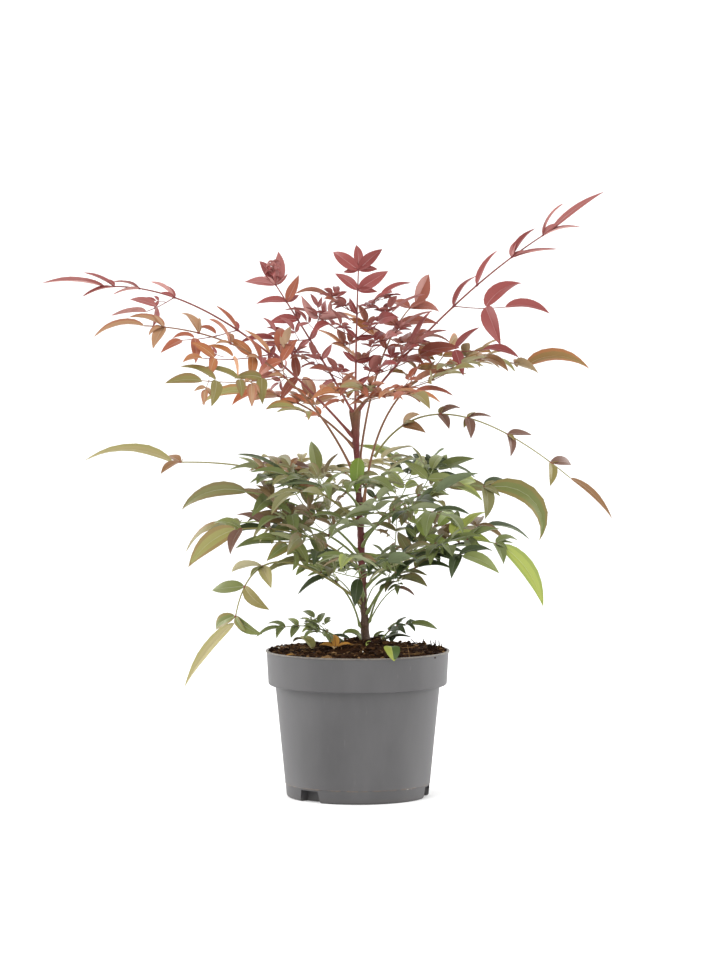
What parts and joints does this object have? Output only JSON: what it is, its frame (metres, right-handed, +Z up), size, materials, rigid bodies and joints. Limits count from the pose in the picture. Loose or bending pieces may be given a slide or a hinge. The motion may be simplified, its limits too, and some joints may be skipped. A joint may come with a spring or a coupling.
{
  "type": "potted heavenly bamboo",
  "caption": "Young heavenly bamboo shrub: one slender cane with layered compound fronds, crimson at the top and green below, rooted in a round grey plastic nursery pot of dark peat",
  "frame": {"origin": "centre of the pot's flat underside, on the ground", "axes": "+Z is up, along the pot's axis; -Y is the plant's front as pictured; +X is to the right in that view"},
  "size_m": [0.5221, 0.3438, 0.5584],
  "materials": {
    "pot": "matte mid-grey moulded plastic with faint scuffs",
    "soil": "moist dark brown coarse peat with fibres",
    "bark": "smooth red-brown stem and leaf stalks, matte, with a soft sheen",
    "foliage_crimson": "thin leathery leaflets, crimson, softly glossy above",
    "foliage_rust": "thin leathery leaflets, rust to orange, softly glossy above",
    "foliage_olive": "thin leathery leaflets, olive to bronze, softly glossy above",
    "foliage_green": "thin leathery leaflets, dark to mid green, softly glossy above",
    "foliage_lime": "thin leathery leaflets, lime green, softly glossy above"
  },
  "bodies": {
    "root": {"pot": "pot", "soil": "soil", "cane": "bark", "bough_top_shoot": "bark", "bough_crown_left": "bark", "bough_upper_right": "bark", "bough_upper_front": "bark", "bough_far_left": "bark", "bough_upper_back_left": "bark", "bough_upper_back_right": "bark", "bough_left_orange": "bark", "bough_mid_back_left": "bark", "bough_right_bronze": "bark", "bough_right_drooping": "bark", "bough_left_front": "bark", "bough_left_long": "bark", "bough_mid_back_right": "bark", "bough_right_green": "bark", "bough_right_front": "bark", "bough_left_green": "bark", "bough_left_back": "bark", "bough_left_bronze": "bark", "bough_right_back": "bark", "bough_left_low": "bark", "bough_right_lime": "bark", "bough_front_low": "bark", "bough_right_thin": "bark", "bough_low_left": "bark", "bough_low_right": "bark", "foliage_top_shoot": "foliage_crimson", "foliage_crown_left": "foliage_crimson", "foliage_upper_right_inner": "foliage_crimson", "foliage_upper_right_outer": "foliage_crimson", "foliage_upper_front": "foliage_rust", "foliage_far_left_inner": "foliage_crimson", "foliage_far_left_outer": "foliage_crimson", "foliage_upper_back_left": "foliage_rust", "foliage_upper_back_right": "foliage_rust", "foliage_left_orange": "foliage_rust", "foliage_mid_back_left": "foliage_olive", "foliage_right_bronze": "foliage_olive", "foliage_right_drooping": "foliage_olive", "foliage_left_front": "foliage_green", "foliage_left_long": "foliage_olive", "foliage_mid_back_right": "foliage_green", "foliage_right_green": "foliage_green", "foliage_right_front": "foliage_green", "foliage_left_green": "foliage_green", "foliage_left_back": "foliage_green", "foliage_left_bronze": "foliage_olive", "foliage_right_back": "foliage_green", "foliage_left_low": "foliage_olive", "foliage_right_lime": "foliage_lime", "foliage_front_low": "foliage_green", "foliage_right_thin": "foliage_green", "foliage_low_left": "foliage_green", "foliage_low_right": "foliage_green", "foliage_basal_left": "foliage_green", "foliage_basal_right": "foliage_green"}
  },
  "joints": []
}
